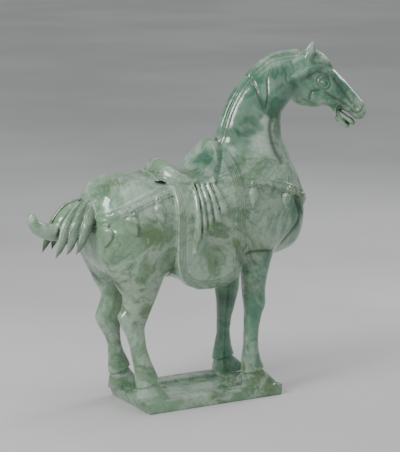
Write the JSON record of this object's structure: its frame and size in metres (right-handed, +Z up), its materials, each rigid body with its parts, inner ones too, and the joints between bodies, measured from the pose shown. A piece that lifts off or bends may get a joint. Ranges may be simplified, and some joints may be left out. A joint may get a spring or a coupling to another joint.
{
  "type": "hardstone horse figure",
  "caption": "carved and polished green stone horse, saddled and standing on its own low oblong plinth, head turned to its right, tail docked and curled",
  "frame": {"origin": "middle of the flat underside of the plinth", "axes": "+X the way the horse's body faces, +Y the horse's left, +Z up; the plinth's underside lies in the XY plane"},
  "size_m": [0.4606, 0.139, 0.4605],
  "materials": {
    "green_hardstone": "carved and highly polished mottled green hardstone, pale with darker green and grey-white patches"
  },
  "bodies": {
    "root": {"horse_figure": "green_hardstone"}
  },
  "joints": []
}
